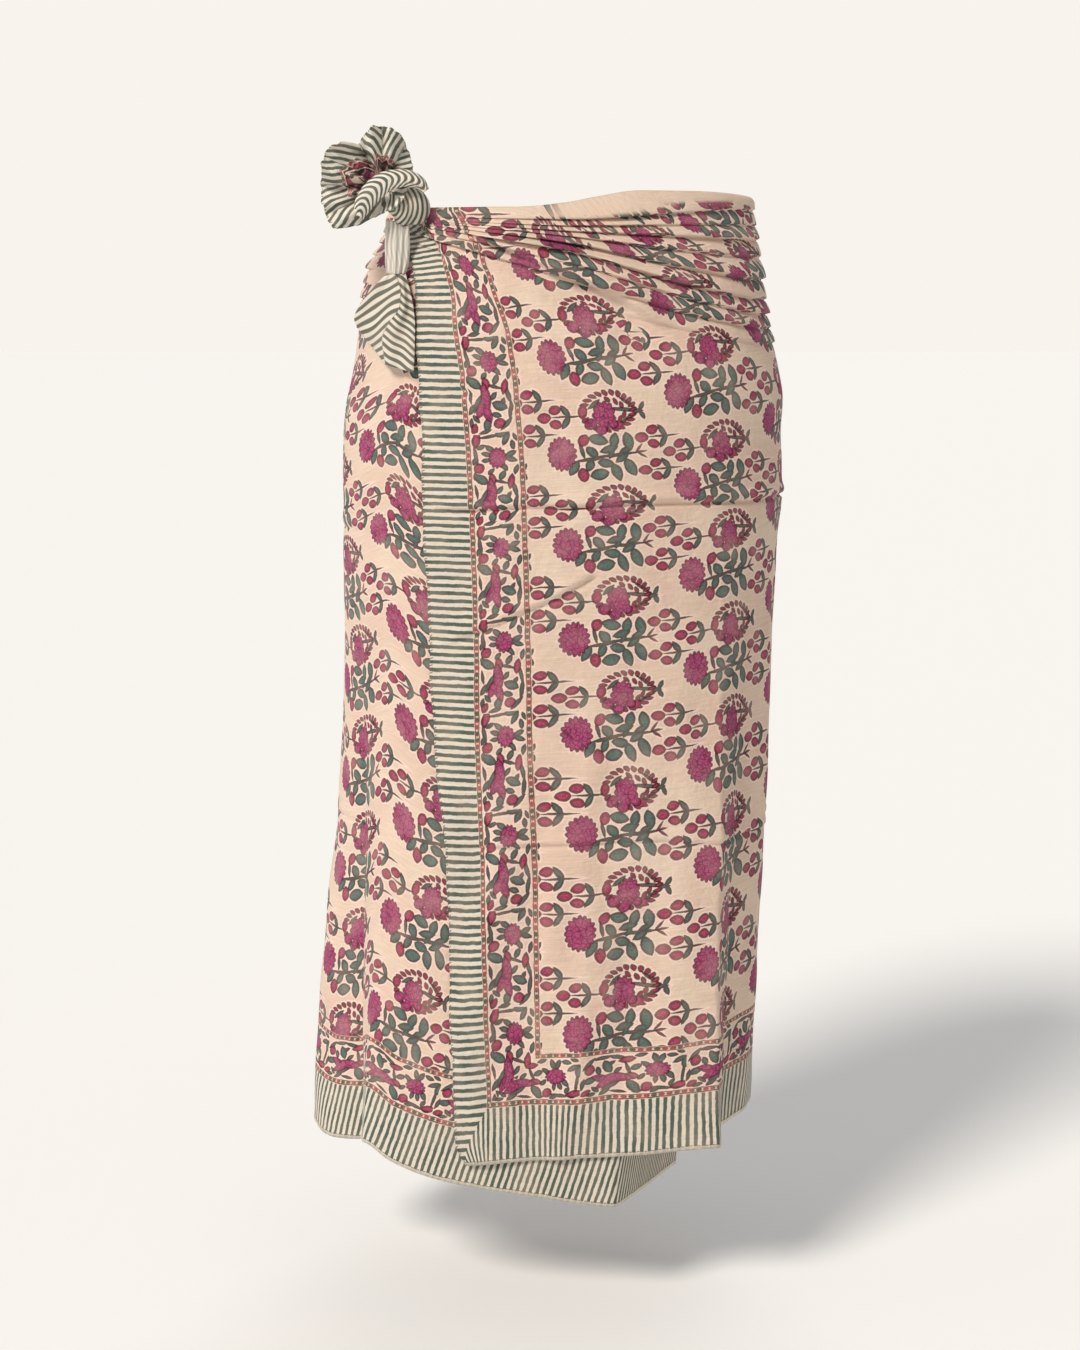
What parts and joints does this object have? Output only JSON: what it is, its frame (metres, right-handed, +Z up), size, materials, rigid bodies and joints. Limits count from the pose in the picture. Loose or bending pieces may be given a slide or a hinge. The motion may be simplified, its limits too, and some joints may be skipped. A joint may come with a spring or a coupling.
{
  "type": "longyi sarong",
  "caption": "Cotton wrap sarong as worn: one printed sheet wound round the hips and under itself, gathered at the waist and tied at the side in a knot with two free ends.",
  "frame": {"origin": "centre of the waist opening, at the level where the wearer's waist holds the garment up", "axes": "+Z up, -Y towards the front, +X to the right as seen from the front, the knot on the -X side"},
  "size_m": [0.4724, 0.3306, 1.0294],
  "materials": {
    "printed_cotton": "matt woven cotton, block printed",
    "striped_border_cotton": "matt woven cotton, striped border"
  },
  "bodies": {
    "root": {"outer_front": "printed_cotton", "back_wrap": "printed_cotton", "under_front": "printed_cotton", "knot": "striped_border_cotton", "rosette": "striped_border_cotton", "tail_neck": "striped_border_cotton", "tail_lobe": "striped_border_cotton"}
  },
  "joints": []
}
